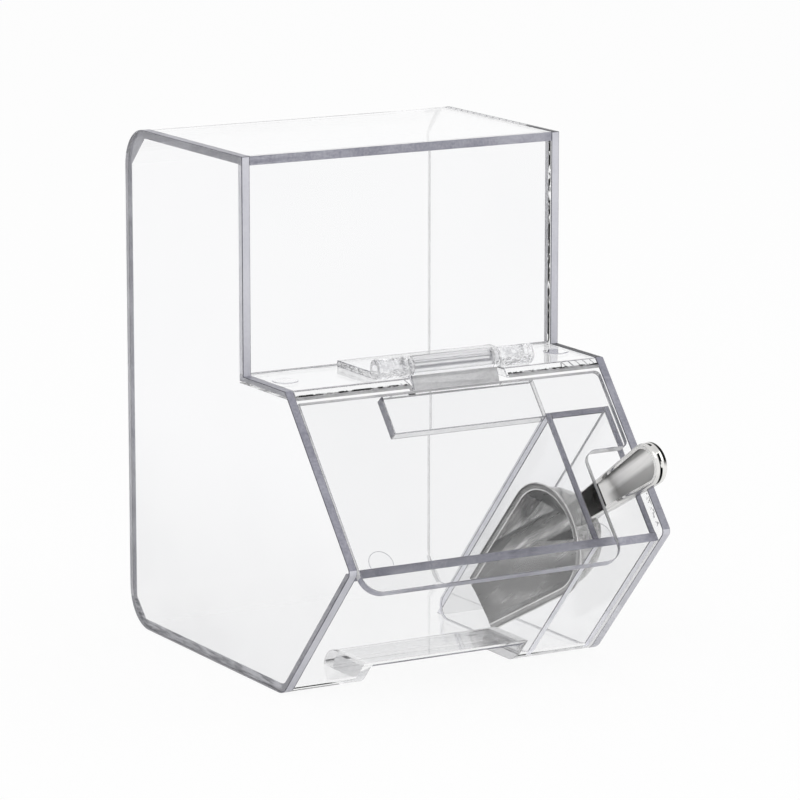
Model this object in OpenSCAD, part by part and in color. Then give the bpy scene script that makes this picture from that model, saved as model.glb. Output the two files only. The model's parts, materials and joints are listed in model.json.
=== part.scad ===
// Clear countertop candy bin: a bent acrylic body between two cut side panels,
// a hinged flip lid over the sloping front, and a side pocket that holds a metal scoop.
// Frame: +X to the right, -Y to the front, +Z up, origin on the table under the middle of the bin.

/* [Bin] */
// Overall width over both side panels
bin_w = 160; // [130:1:200]
// Overall height
bin_h = 230; // [200:1:270]
// Depth of the tower, from the back
tower_d = 113; // [95:1:120]
// Height of the ledge in front of the tower
ledge_h = 134; // [125:1:150]
// Depth of the ledge's front edge, from the back
ledge_d = 151; // [145:1:160]
// Depth of the nose, from the back
nose_d = 208; // [200:1:222]
// Height of the nose
nose_h = 66; // [60:1:72]
// Depth of the base's front corner, from the back
base_d = 148; // [142:1:156]

/* [Sheet] */
// Thickness of the side panels
side_t = 4; // [3:0.25:5]
// Thickness of the bent body
wrap_t = 4; // [3:0.25:5]
// Thickness of the tower's front pane
front_t = 4; // [3:0.25:5]
// How far the front pane is set back behind the side panels' edges
front_in = 2.4; // [1:0.1:3]
// Thickness of the ledge
ledge_t = 4; // [3:0.25:5]
// Outer radius of the two rear bends
rear_r = 18; // [12:1:26]
// Leg of the flat inner face across the upper rear bend
bend_top = 13; // [8:0.5:14]
// Leg of the flat inner face across the lower rear bend
bend_low = 9; // [6:0.5:14]
// Outer radius of the bend under the front
base_r = 10; // [7:0.5:14]
// Rounding of the side panels at the nose
nose_r = 3; // [1:0.5:5]
// Rounding of the side panels at the ledge
ledge_r = 1.2; // [0.5:0.1:2.5]

/* [Base recess] */
// Distance of the recess from the left side
recess_x = 39; // [30:1:48]
// Width of the recess
recess_w = 77; // [60:1:80]
// Height of the recess
recess_h = 9.5; // [7:0.5:12]
// Depth of the recess's back wall, from the back of the bin
recess_d = 120; // [112:1:128]
// Rounding between the recess's roof and its back wall
recess_r = 7; // [3:0.5:8]
// Thickness of the recess's roof and walls
recess_t = 3; // [2:0.25:3.5]

/* [Lid] */
// Thickness of the lid
lid_t = 4; // [3:0.25:5]
// Gap between the lid and each side panel
lid_gap = 0.5; // [0.3:0.1:1]
// Gap between the lid's top edge and the ledge
lid_top_gap = 0.9; // [0.6:0.1:1.6]
// How far the lid reaches past the nose
lid_over = 10; // [6:0.5:14]
// Rounding of the lid's lower corners
lid_r = 9; // [5:0.5:12]
// Rounding of the lid's right upper corners
lid_top_r = 3; // [1:0.5:4]
// Distance of the handle notch from the lid's top corner line, down the slope
notch_at = 45; // [40:1:50]
// Distance of the notch's inner edge from the left side
notch_x = 132.5; // [130:0.5:134]
// Rounding of the notch's inner corner
notch_r = 6; // [3:0.5:8]

/* [Hinge] */
// Distance of the hinge's left end from the left side
hinge_x = 46; // [40:0.5:50]
// Length of the hinge
hinge_w = 78; // [70:0.5:78]
// Length of each fixed knuckle
knuckle_w = 17; // [12:0.5:20]
// Radius of the knuckles and the barrel
knuckle_r = 4.5; // [4:0.1:5]
// Thickness of the hinge's leaves
leaf_t = 3; // [2.5:0.1:3.5]
// Thickness of the lid leaf's plate
plate_t = 5; // [4:0.25:6]
// How far the lid's leaf reaches down the slope
leaf_len = 25; // [20:0.5:30]
// Distance of the hinge axis behind the ledge's front edge
hinge_back = 3.6; // [3:0.1:4.2]
// Radius of the hinge pin
pin_r = 2; // [1.5:0.1:2.4]
// Running clearance round the pin
pin_fit = 0.05; // [0.02:0.01:0.08]
// Gap between the barrel and each knuckle
knuckle_gap = 0.4; // [0.3:0.1:1]
// Gap between the lid's leaf and the pocket's divider
leaf_side_gap = 0.6; // [0.4:0.1:1]
// Gap round the lid leaf's tongue in the ledge
tongue_gap = 2; // [1:0.1:2.5]

/* [Dots] */
// Radius of the clear bumper dots
dot_r = 6; // [4:0.25:7]
// Thickness of the dots
dot_t = 1.5; // [1:0.1:2]
// Gap between the lid's dots and the lip
dot_gap = 0.2; // [0.1:0.05:0.4]
// Distance of the left lid dot from the left side
lid_dot_x = 17.5; // [14:0.5:22]
// Distance of the lid dots from the slope's lower end
lid_dot_up = 4.3; // [3:0.1:6]
// Distance of the right lid dot from the handle notch
lid_dot_in = 6.8; // [6:0.1:10]
// Distance of the ledge dots from the side panels' inner faces
ledge_dot_in = 7.6; // [7:0.1:12]
// Distance of the ledge dots in front of the tower
ledge_dot_out = 17; // [14:0.5:20]

/* [Scoop pocket] */
// Distance of the divider from the left side
divider_x = 123; // [121:0.5:124]
// Thickness of the divider
divider_t = 3; // [2:0.25:3.5]
// Thickness of the pocket's wall against the right side panel
wall_t = 3; // [2:0.25:3]
// Thickness of the ramp behind the scoop
ramp_t = 3; // [2:0.25:3.5]
// Distance of the ramp's top edge down the slope
ramp_at = 22.3; // [20:0.5:24]
// Gap between the pocket's edges and the closed lid's dots
pocket_gap = 0.4; // [0.3:0.1:1]
// Rounding of the divider's rear foot
divider_r = 6; // [3:0.5:8]

/* [Scoop] */
// Radius of the bowl inside its rim
bowl_r = 22.4; // [20:0.2:23]
// Width of the flat rim round the bowl
bowl_rim = 2.4; // [1.5:0.1:2.6]
// Distance from the bowl's mouth to the middle of its round back
bowl_len = 63.5; // [58:0.5:66]
// Taper of the bowl's sides towards the mouth
bowl_taper = 10.5; // [8:0.5:14]
// Wall of the bowl
bowl_t = 1.2; // [0.8:0.1:1.6]
// Depth of the bowl's flat floor below the middle of its round back
bowl_depth = 14; // [12:0.5:14.5]
// Depth of the bowl at its mouth
mouth_depth = 1.6; // [1.4:0.1:3]
// Length of the handle from the bowl's back
handle_len = 78; // [70:1:85]
// Radius of the handle's round end
handle_end_r = 9.5; // [8:0.25:10]
// Half width of the handle at the bowl
handle_neck_r = 5.6; // [5:0.2:6]
// Thickness of the handle
handle_t = 6; // [5:0.25:6.5]
// Depth of the panel sunk in each face of the handle
panel_in = 1.2; // [0.6:0.1:1.8]
// Width of the rim round that panel
panel_rim = 2.2; // [1.5:0.1:3]
// Set of the handle to the bowl, in degrees
handle_set = 6; // [0:0.5:8]
// Slope of the stored bowl, in degrees
scoop_pitch = 37.5; // [36:0.5:38.5]
// Turn of the stored bowl to the right, in degrees
scoop_yaw = 3.5; // [2:0.5:5]
// Lean of the stored bowl on its side, in degrees
scoop_roll = 5; // [3:0.5:6]
// Distance of the bowl's mouth from the divider
mouth_x = 4.5; // [4:0.1:5]
// Gap between the bowl's mouth and the pocket's floor
scoop_gap = 0.3; // [0.2:0.05:0.8]
// Distance of the middle of the bowl's mouth from the ramp
mouth_out = 15.3; // [15:0.1:16]

/* [Hidden] */
$fn = 64;

clear = [0.86, 0.9, 0.93, 0.4];
clear_edge = [0.72, 0.76, 0.82, 0.5];
steel = [0.75, 0.75, 0.74];

// Depths are kept from the back and heights from the table: this turns them into the side view's Y and Z
function side_point(depth, height) = [nose_d / 2 - depth, height];
// Distances from the left side become X
function from_left(x) = x - bin_w / 2;

// Each rounding stands this far into its neighbours, so that their faces cross and don't just touch
bite = 0.01;

function unit(v) = v / norm(v);
// Meeting point of the line through p along u and the line through q along v
function meet(p, u, q, v) = p + u * cross(q - p, v) / cross(u, v);
function half_angle(a, b, c) = acos(unit(a - b) * unit(c - b)) / 2;
function round_centre(a, b, c, r) =
    b + unit(unit(a - b) + unit(c - b)) * (r / sin(half_angle(a, b, c)) - bite);
function round_ends(a, b, c, r) =
    let (reach = r / tan(half_angle(a, b, c)))
    r > 0 ? [b + unit(a - b) * reach, b + unit(c - b) * reach] : [b];
function before(points, i) = points[(i + len(points) - 1) % len(points)];
function after(points, i) = points[(i + 1) % len(points)];
function is_outer(points, i) = cross(points[i] - before(points, i), after(points, i) - points[i]) > 0;

// An outline, listed anticlockwise, with each corner rounded by its own radius
module rounded(points, radii) {
    steps = [0:len(points) - 1];
    difference() {
        union() {
            polygon([for (i = steps)
                each round_ends(before(points, i), points[i], after(points, i), radii[i])]);
            for (i = steps)
                if (radii[i] > 0 && is_outer(points, i))
                    translate(round_centre(before(points, i), points[i], after(points, i), radii[i]))
                        circle(radii[i]);
        }
        for (i = steps)
            if (radii[i] > 0 && !is_outer(points, i))
                translate(round_centre(before(points, i), points[i], after(points, i), radii[i]))
                    circle(radii[i]);
    }
}

// A side view drawn in Y and Z, extruded in X from x0 to x1, both measured from the left side
module across(x0, x1) {
    translate([from_left(x0), 0, 0])
        rotate([90, 0, 90])
            linear_extrude(x1 - x0)
                children();
}

// Corners of the side view
base_back = side_point(0, 0);
top_back = side_point(0, bin_h);
top_front = side_point(tower_d, bin_h);
tower_foot = side_point(tower_d, ledge_h);
ledge_front = side_point(ledge_d, ledge_h);
nose = side_point(nose_d, nose_h);
base_front = side_point(base_d, 0);

// The slope runs down from the ledge to the nose, and the chin back from the nose to the base
slope = unit(nose - ledge_front);
slope_out = [slope[1], -slope[0]];
slope_len = norm(nose - ledge_front);
slope_angle = atan2(-slope[1], -slope[0]);
chin = unit(base_front - nose);
chin_in = [-chin[1], chin[0]];
// A point measured down the slope from the ledge, and out from the slope's face
function on_slope(down, out) = ledge_front + slope * down + slope_out * out;

// Inner faces of the bent body
floor_z = wrap_t;
inner_chin = nose + chin_in * wrap_t;
inner_base_front = meet(inner_chin, chin, [0, floor_z], [1, 0]);
lip_in = lid_t + dot_t + dot_gap;
lip = meet(inner_chin, chin, on_slope(0, -lip_in), slope);
inner_left = side_t;
inner_right = bin_w - side_t;
spare = 60;

module side_panel(x0) {
    across(x0, x0 + side_t)
        rounded([base_front, base_back, top_back, top_front, tower_foot, ledge_front, nose],
            [base_r, rear_r, rear_r, 0, 0, ledge_r, nose_r]);
}

module side_panel_left() {
    color(clear) side_panel(0);
}

module side_panel_right() {
    color(clear) side_panel(bin_w - side_t);
}

// Recess that crosses the bend under the front, as a side view grown by a wall
module recess_view(wall) {
    roof = recess_h + wall;
    back = side_point(recess_d - wall, 0)[0];
    front = base_front[0] - spare;
    rounded([[front, -spare], [back, -spare], [back, roof], [front, roof]], [0, 0, recess_r + wall, 0]);
}

module body_outline() {
    rounded([base_front, base_back, top_back, top_front, tower_foot, ledge_front, nose],
        [base_r, rear_r, rear_r, 0, 0, 0, 0]);
}

// Room inside the bent body, open at the front above the lip
module body_room() {
    far = lip + slope * spare;
    roof = bin_h - wrap_t;
    rounded([inner_base_front, side_point(wrap_t + bend_low, floor_z), side_point(wrap_t, floor_z + bend_low),
            side_point(wrap_t, roof - bend_top), side_point(wrap_t + bend_top, roof),
            [far[0], roof], far, lip],
        [base_r - wrap_t, 0, 0, 0, 0, 0, 0, 0]);
}

module body_wrap() {
    recess_end = recess_x + recess_w;
    color(clear)
        difference() {
            union() {
                across(inner_left, inner_right)
                    difference() {
                        body_outline();
                        body_room();
                    }
                across(recess_x - recess_t, recess_end + recess_t)
                    intersection() {
                        body_outline();
                        recess_view(recess_t);
                    }
            }
            across(recess_x, recess_end)
                recess_view(0);
        }
}

// The tower's front pane, set back a little under the edge of the body's top
pane_d = tower_d - front_in;

module tower_front() {
    color(clear)
        across(inner_left, inner_right)
            translate(side_point(pane_d, ledge_h))
                square([front_t, bin_h - wrap_t - ledge_h]);
}

// Hinge axis, on the ledge and over its front edge
axis = ledge_front + [hinge_back, knuckle_r];
axis_down = (axis - ledge_front) * slope;
axis_out = (axis - ledge_front) * slope_out;
barrel_x0 = hinge_x + knuckle_w + knuckle_gap;
barrel_x1 = hinge_x + hinge_w - knuckle_w - knuckle_gap;
leaf_out = -lid_t;
// The fixed leaf and the ledge end behind the space that the lid's leaf turns in
swing_r = norm([leaf_t - leaf_out + axis_out, knuckle_r]) + knuckle_gap;
ledge_face = ledge_t / sin(slope_angle);

module ledge_plate() {
    color(clear)
        difference() {
            across(inner_left, inner_right)
                polygon([on_slope(0, 0), on_slope(ledge_face, 0),
                    side_point(pane_d - front_t, ledge_h - ledge_t), side_point(pane_d - front_t, ledge_h)]);
            across(barrel_x0 - tongue_gap, barrel_x1 + tongue_gap)
                translate(axis + [swing_r - 2 * spare, -spare])
                    square(2 * spare);
        }
}

module hinge_bore(x0, x1) {
    across(x0 - spare, x1 + spare)
        translate(axis)
            circle(pin_r + pin_fit);
}

module hinge_leaf_fixed() {
    knuckles = [hinge_x, hinge_x + hinge_w - knuckle_w];
    leaf_back = side_point(tower_d + lid_gap, ledge_h);
    color(clear_edge)
        difference() {
            union() {
                across(hinge_x, hinge_x + hinge_w)
                    polygon([axis + [swing_r, -knuckle_r], leaf_back, leaf_back + [0, leaf_t],
                        axis + [swing_r, leaf_t - knuckle_r]]);
                for (x = knuckles)
                    across(x, x + knuckle_w)
                        union() {
                            translate(axis)
                                circle(knuckle_r);
                            translate(axis - [0, knuckle_r])
                                square([swing_r + knuckle_r, leaf_t]);
                        }
            }
            hinge_bore(hinge_x, hinge_x + hinge_w);
        }
}

module hinge_pin() {
    color(clear_edge)
        across(hinge_x, hinge_x + hinge_w)
            translate(axis)
                circle(pin_r);
}

module hinge_leaf_lid() {
    top = ledge_face + lid_top_gap;
    plate_end = min(hinge_x + hinge_w, divider_x - leaf_side_gap);
    color(clear_edge)
        difference() {
            union() {
                across(hinge_x, plate_end)
                    polygon([on_slope(top, leaf_out), on_slope(top, leaf_out - plate_t),
                        on_slope(leaf_len, leaf_out - plate_t), on_slope(leaf_len, leaf_out)]);
                across(barrel_x0, barrel_x1)
                    union() {
                        translate(axis)
                            circle(knuckle_r);
                        polygon([axis, on_slope(axis_down, leaf_out - leaf_t),
                            on_slope(top, leaf_out - leaf_t), on_slope(top, leaf_out)]);
                    }
            }
            hinge_bore(barrel_x0, barrel_x1);
        }
}

// Stands a shape drawn in X and down the slope on the slope, from one distance out of its face to another
module on_lid(out0, out1) {
    foot = on_slope(0, out0);
    translate([0, foot[0], foot[1]])
        rotate([slope_angle - 90, 0, 0])
            rotate([90, 0, 0])
                linear_extrude(out1 - out0)
                    children();
}

module lid_panel() {
    left = from_left(inner_left + lid_gap);
    right = from_left(inner_right - lid_gap);
    notch = from_left(notch_x);
    top = -(ledge_face + lid_top_gap);
    bottom = -(slope_len + lid_over);
    color(clear)
        on_lid(-lid_t, 0)
            rounded([[left, bottom], [notch, bottom], [notch, -notch_at],
                    [right, -notch_at], [right, top], [left, top]],
                [lid_r, lid_r, notch_r, lid_top_r, lid_top_r, 0]);
}

// A clear round bumper with a domed face, standing on its flat back
module dot() {
    dome_r = (dot_r * dot_r + dot_t * dot_t) / (2 * dot_t);
    rotate_extrude()
        intersection() {
            square([dot_r, dot_t]);
            translate([0, dot_t - dome_r])
                circle(dome_r, $fn = 180);
        }
}

module lid_dot(x) {
    foot = on_slope(slope_len - lid_dot_up, -lid_t);
    color(clear)
        translate([from_left(x), foot[0], foot[1]])
            rotate([slope_angle + 90, 0, 0])
                rotate([90, 0, 0])
                    dot();
}

module lid_dot_left() {
    lid_dot(lid_dot_x);
}

module lid_dot_right() {
    lid_dot(notch_x - lid_dot_in);
}

module ledge_dot(x) {
    foot = side_point(tower_d + ledge_dot_out, ledge_h);
    color(clear)
        translate([from_left(x), foot[0], foot[1]])
            dot();
}

module ledge_dot_left() {
    ledge_dot(inner_left + ledge_dot_in);
}

module ledge_dot_right() {
    ledge_dot(inner_right - ledge_dot_in);
}

// The ramp lies parallel to the chin, and the divider and the wall close the space between them
pocket_out = -(lid_t + dot_t + pocket_gap);
ramp_back_top = on_slope(ramp_at, pocket_out);
ramp_front_top = on_slope(ramp_at + ramp_t / cross(slope, chin), pocket_out);
ramp_back_foot = meet(ramp_back_top, chin, [0, floor_z], [1, 0]);
ramp_front_foot = meet(ramp_front_top, chin, [0, floor_z], [1, 0]);
divider_nose = meet(inner_chin, chin, on_slope(0, min(pocket_out, -lip_in)), slope);

module pocket_side(x0, x1) {
    across(x0, x1)
        rounded([inner_base_front, ramp_back_foot, ramp_back_top,
                meet(ramp_back_top, slope, divider_nose, chin), divider_nose],
            [base_r - wrap_t, divider_r, 0, 0, 0]);
}

module pocket_divider() {
    color(clear) pocket_side(divider_x, divider_x + divider_t);
}

module pocket_wall() {
    color(clear) pocket_side(inner_right - wall_t, inner_right);
}

module pocket_ramp() {
    color(clear)
        across(divider_x + divider_t, inner_right - wall_t)
            polygon([ramp_front_foot, ramp_back_foot, ramp_back_top, ramp_front_top]);
}

// The scoop is drawn lying on its back, with its axis along +X from the bowl's mouth and the bowl open to +Z
function bowl_mouth(r) = (r - bowl_len * sin(bowl_taper)) / cos(bowl_taper);
rim_r = bowl_r + bowl_rim;
mouth_z = floor_z + scoop_gap + bowl_mouth(rim_r) * cos(scoop_roll) * cos(scoop_pitch);
mouth_foot = meet(ramp_front_top, chin, [0, mouth_z], [1, 0]);
mouth = mouth_foot - [mouth_out / chin_in[0], 0];

module stored() {
    translate([from_left(divider_x + divider_t + mouth_x), mouth[0], mouth[1]])
        rotate([90 + scoop_roll, -scoop_pitch, scoop_yaw - 90])
            children();
}

// Half of the bowl's outline at a radius, from its mouth along a straight side into its round back
module bowl_half(r) {
    side_end = [0, bowl_len] + (r - bite) * [cos(bowl_taper), -sin(bowl_taper)];
    intersection() {
        square([rim_r, bowl_len + rim_r]);
        union() {
            polygon([[0, 0], [bowl_mouth(r - bite), 0], side_end, [0, bowl_len]]);
            translate([0, bowl_len])
                circle(r);
        }
    }
}

// Solid of revolution of the bowl, shrunk by a wall
module bowl_body(wall) {
    rotate([0, 90, 0])
        rotate_extrude()
            bowl_half(bowl_r - wall);
}

// Flat rim that starts inside the bowl's wall and reaches out round it
module bowl_flange() {
    translate([0, 0, -bowl_t])
        linear_extrude(bowl_t)
            rotate(-90)
                difference() {
                    for (side = [0, 1])
                        mirror([side, 0])
                            bowl_half(rim_r);
                    for (side = [0, 1])
                        mirror([side, 0])
                            bowl_half(bowl_r - bowl_t / 2);
                }
}

// Everything over the bowl's floor, raised by a wall
module over_floor(wall) {
    rise = atan((bowl_depth - mouth_depth) / bowl_len);
    translate([bowl_len, 0, wall - bowl_depth])
        rotate([0, rise, 0])
            translate([-2 * bowl_len, -2 * bowl_r, 0])
                cube([4 * bowl_len, 4 * bowl_r, 4 * bowl_r]);
}

module scoop_bowl() {
    color(steel)
        stored()
            difference() {
                union() {
                    intersection() {
                        bowl_body(0);
                        over_floor(0);
                    }
                    bowl_flange();
                }
                intersection() {
                    bowl_body(bowl_t);
                    over_floor(bowl_t);
                }
                translate([-bowl_r, -2 * bowl_r, 0])
                    cube([2 * bowl_len + bowl_r, 4 * bowl_r, bowl_r]);
            }
}

// A bar with round ends, narrow at the start and wide at the far end
module tapered_bar(r0, r1, length) {
    lean = asin((r1 - r0) / length);
    side = [-sin(lean), cos(lean)];
    n0 = (r0 - bite) * side;
    n1 = [length, 0] + (r1 - bite) * side;
    union() {
        polygon([n0, [n0[0], -n0[1]], [n1[0], -n1[1]], n1]);
        circle(r0);
        translate([length, 0])
            circle(r1);
    }
}

// The handle's bar, and the panel sunk in each of its faces
module handle_bar() {
    bar_len = handle_len - handle_end_r;
    panel_start = bar_len * 0.42;
    panel_r0 = handle_neck_r + (handle_end_r - handle_neck_r) * 0.42 - panel_rim;
    difference() {
        linear_extrude(handle_t)
            tapered_bar(handle_neck_r, handle_end_r, bar_len);
        for (z = [handle_t - panel_in, panel_in - handle_t])
            translate([panel_start, 0, z])
                linear_extrude(handle_t)
                    tapered_bar(panel_r0, handle_end_r - panel_rim, bar_len - panel_start);
    }
}

module scoop_handle() {
    color(steel)
        stored()
            difference() {
                translate([bowl_len + bowl_r - handle_neck_r, 0, -handle_t])
                    rotate([0, 0, -handle_set])
                        handle_bar();
                translate([bowl_len, 0, 0])
                    sphere(bowl_r);
                translate([bowl_len, 0, -bowl_t])
                    cylinder(h = 2 * bowl_t, r = rim_r);
            }
}

side_panel_left();
side_panel_right();
body_wrap();
tower_front();
ledge_plate();
pocket_divider();
pocket_wall();
pocket_ramp();
hinge_leaf_fixed();
hinge_pin();
ledge_dot_left();
ledge_dot_right();
lid_panel();
hinge_leaf_lid();
lid_dot_left();
lid_dot_right();
scoop_bowl();
scoop_handle();
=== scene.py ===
# %% [markdown]
# # A clear acrylic candy bin
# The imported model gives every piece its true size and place. This lesson dresses it: polished sheets with
# lavender cut edges, a moulded hinge, clear bumper dots and a polished metal scoop. The solids are already
# right, so most pieces start as a copy of the solid that they stand for.

# %% Load the frame
import json
import math
import bmesh
import bpy
from mathutils import Matrix, Vector


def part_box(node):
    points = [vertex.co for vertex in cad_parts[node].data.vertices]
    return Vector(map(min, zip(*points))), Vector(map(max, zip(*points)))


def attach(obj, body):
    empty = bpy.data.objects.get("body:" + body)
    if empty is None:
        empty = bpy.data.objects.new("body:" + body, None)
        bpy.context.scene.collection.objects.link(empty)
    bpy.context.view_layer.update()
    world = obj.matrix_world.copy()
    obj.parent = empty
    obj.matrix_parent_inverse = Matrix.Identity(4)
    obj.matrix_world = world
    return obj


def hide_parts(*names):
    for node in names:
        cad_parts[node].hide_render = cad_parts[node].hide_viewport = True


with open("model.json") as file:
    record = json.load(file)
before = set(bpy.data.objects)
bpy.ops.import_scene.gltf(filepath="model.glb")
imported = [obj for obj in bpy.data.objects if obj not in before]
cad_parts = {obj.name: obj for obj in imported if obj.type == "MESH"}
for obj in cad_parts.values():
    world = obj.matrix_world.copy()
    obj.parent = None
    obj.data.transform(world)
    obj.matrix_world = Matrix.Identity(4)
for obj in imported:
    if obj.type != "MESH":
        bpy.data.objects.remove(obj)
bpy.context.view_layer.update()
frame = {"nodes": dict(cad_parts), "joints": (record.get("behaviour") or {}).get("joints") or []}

nodes = frame["nodes"]
print("pieces in the frame:", len(nodes))

# %% [markdown]
# ## The camera
# The bin is seen from its front left, a little from above. A short lens would spread its edges apart. A long
# lens keeps the far edges almost parallel, as in a catalogue picture, so the camera stands two metres away.

# %% Camera
TURN, TILT = math.radians(29.7254), math.radians(11.408)
EYE_PLACE = (-0.96276, -1.69199, 0.507)
SENSOR_MM, LENS_MM = 36, 201.34

eye = bpy.data.objects.new("eye", bpy.data.cameras.new("eye"))
bpy.context.scene.collection.objects.link(eye)
eye.location = EYE_PLACE
eye.rotation_euler = (math.pi / 2 - TILT, 0, -TURN)
eye.data.sensor_fit = "HORIZONTAL"
eye.data.sensor_width = SENSOR_MM
eye.data.lens = LENS_MM
bpy.context.scene.camera = eye
print("camera at", EYE_PLACE)

# %% [markdown]
# ## Shader maths
# Node trees read badly as lists of links. A small class wraps a socket, so that masks can be written as sums
# and products, and one method makes any other node from its type, settings and inputs. An input is named by
# its label, with underscores for spaces, or by its number, as in i0, where several inputs share a label.

# %% Inputs and ramps
def input_of(node, name):
    if name[0] == "i" and name[1:].isdigit():
        return node.inputs[int(name[1:])]
    return node.inputs[name.replace("_", " ")]


def set_stops(ramp, stops):
    while len(ramp) < len(stops):
        ramp.new(0.5)
    for stop, (place, colour) in zip(ramp, stops):
        stop.position = place
        stop.color = colour


print("inputs are found by name or number")


# %% A socket that can be added and multiplied
class Value:
    def __init__(self, tree, socket):
        self.tree = tree
        self.socket = socket

    def node(self, kind, settings=None, out=0, **inputs):
        made = self.tree.nodes.new(kind)
        for name, value in (settings or {}).items():
            if name == "stops":
                set_stops(made.color_ramp.elements, value)
            else:
                setattr(made, name, value)
        for name, value in inputs.items():
            slot = input_of(made, name)
            if isinstance(value, Value):
                self.tree.links.new(value.socket, slot)
            else:
                slot.default_value = value
        return Value(self.tree, made.outputs[out])

    def maths(self, operation, other=0.0, third=0.0):
        return self.node("ShaderNodeMath", {"operation": operation}, i0=self, i1=other, i2=third)

    def __add__(self, other):
        return self.maths("ADD", other)

    def __sub__(self, other):
        return self.maths("SUBTRACT", other)

    def __mul__(self, other):
        return self.maths("MULTIPLY", other)

    def __truediv__(self, other):
        return self.maths("DIVIDE", other)

    def __radd__(self, other):
        return self + other

    def __rmul__(self, other):
        return self * other

    def __rsub__(self, other):
        return self * -1.0 + other

    def larger(self, other):
        return self.maths("MAXIMUM", other)

    def step(self, low, high):
        """Rises smoothly from 0 to 1 between two values."""
        smooth = {"interpolation_type": "SMOOTHSTEP"}
        return self.node("ShaderNodeMapRange", smooth, i0=self, i1=low, i2=high)

    def mix(self, a, b):
        return self.node("ShaderNodeMix", {"data_type": "RGBA"}, out=2, i0=self, i6=a, i7=b)

    def bump(self, strength, distance):
        return self.node("ShaderNodeBump", None, Height=self, Strength=strength, Distance=distance)

    def part(self, axis):
        """One coordinate of a place: 0 for x, 1 for y and 2 for z."""
        return self.node("ShaderNodeSeparateXYZ", None, out=axis, Vector=self)


print("sockets can be added, multiplied, stepped and mixed")


# %% Starting and feeding a finish
def finish_of(name, **constants):
    """A new material with a Principled shader: returns it, its shader and the Object coordinates."""
    made = bpy.data.materials.new(name)
    made.use_nodes = True
    tree = made.node_tree
    shader = tree.nodes["Principled BSDF"]
    for socket, value in constants.items():
        input_of(shader, socket).default_value = value
    place = Value(tree, tree.nodes.new("ShaderNodeTexCoord").outputs["Object"])
    return made, shader, place


def feed(shader, **values):
    for socket, value in values.items():
        value.tree.links.new(value.socket, input_of(shader, socket))


def noise(place, scale, detail=2.0, stretch=(1, 1, 1)):
    moved = place.node("ShaderNodeMapping", None, Vector=place, Scale=stretch)
    return place.node("ShaderNodeTexNoise", None, Vector=moved, Scale=scale, Detail=detail)


print("shader maths ready")

# %% [markdown]
# ## The clear sheet's faces
# Good acrylic is nearly invisible across its face: light bends through it and little is lost. A glass shader
# with a faint haze does that. Where the sheet's mass shows, as in the lid, the face has a light grey tint. On
# the near side panel and the ramp a grey tint fades out with height: it is painted shade, lying low as the
# room's shadow does. The roof of the recess under the front is tinted with painted shade too.

# %% Clear faces
ACRYLIC_IOR, THIN_IOR = 1.49, 1.03
UNTINTED = (0.98, 0.98, 0.985, 1)
HAZE_SCALE, HAZE_LIMITS, HAZE_ROUGHNESS = 14.0, (0.35, 0.75), 0.02
sheet_finishes = []


def clear_face(name, tint, strength, ior=ACRYLIC_IOR, fade=None):
    """The haze deepens the tint by its strength, and the tint can fade out between two heights as painted
    shade.
    """
    made, shader, place = finish_of(name, IOR=ior, Transmission_Weight=1.0, Specular_Tint=(0, 0, 0, 1))
    haze = noise(place, HAZE_SCALE, 3.0).step(*HAZE_LIMITS)
    hazy = [1 - (1 - t) * strength for t in tint]
    colour = haze.mix((*tint, 1), (*hazy, 1))
    if fade:
        colour = place.part(2).step(*fade).mix(colour, UNTINTED)
    feed(shader, Base_Color=colour, Roughness=haze * HAZE_ROUGHNESS)
    return made


def sheet_finish(made):
    """Adds a finish to the list that all sheets share, and returns its number there."""
    sheet_finishes.append(made)
    return len(sheet_finishes) - 1


FACE = sheet_finish(clear_face("acrylic face", (0.982, 0.983, 0.986), 1.5))
# Painted shade: the near side's grey tint is darker low down and fades out with height.
NEAR = sheet_finish(clear_face("acrylic near side", (0.90, 0.90, 0.905), 1.5, fade=(0.0, 0.11)))
TINTED = sheet_finish(clear_face("acrylic lid face", (0.93, 0.931, 0.935), 1.2))
CHIN = sheet_finish(clear_face("acrylic chin face", (0.94, 0.941, 0.943), 1.2))
# Painted shade: the roof of the recess under the front is tinted darker.
ROOF = sheet_finish(clear_face("acrylic recess roof", (0.80, 0.80, 0.805), 1.1))
# Painted shade: the ramp's grey tint lies low, where the bowl's shadow falls, and fades out with height.
RAMP = sheet_finish(clear_face("acrylic ramp face", (0.78, 0.78, 0.785), 1.1, fade=(0.045, 0.085)))
BEND = sheet_finish(clear_face("acrylic bend", (0.985, 0.986, 0.988), 1.5, THIN_IOR))
print("clear faces:", [made.name for made in sheet_finishes])

# %% [markdown]
# ## The clear sheet's edges
# Cut edges are another matter. Light that comes in through the faces leaves there after many reflections, so
# an edge looks lavender grey, and its sharp corners draw thin darker lines. Traced light would need very many
# bounces for that. An edge is an almost solid finish instead, painted with the tone that the light would give
# it, with broad clouds, fine saw marks, and on a few edges a small painted glow.

# %% Cut edges
CLOUD_SCALE, SAW_SCALE = 60.0, 900.0
CLOUD_SHARE = 0.6
EDGE_ROUGHNESS, PALE_CLEARS = 0.28, 0.1
SAW_STRENGTH, SAW_DEPTH = 0.15, 0.0002


def cut_edge(name, dark, pale, cover, glow=0.0, stretch=(1, 1, 1), limits=(0.3, 0.7)):
    """The cover is how solid the edge is, and the glow is painted light for what the sheet pipes to the edge.
    """
    made, shader, place = finish_of(name, Roughness=EDGE_ROUGHNESS, IOR=ACRYLIC_IOR, Emission_Strength=glow)
    cloud = noise(place, CLOUD_SCALE, 4.0, stretch)
    saw = noise(place, SAW_SCALE, 2.0, stretch)
    tone = (cloud * CLOUD_SHARE + saw * (1 - CLOUD_SHARE)).step(*limits)
    colour = tone.mix((*dark, 1), (*pale, 1))
    feed(shader, Base_Color=colour, Alpha=cover - tone * PALE_CLEARS,
         Normal=saw.bump(SAW_STRENGTH, SAW_DEPTH))
    if glow:
        feed(shader, Emission_Color=colour)
    return made


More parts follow.
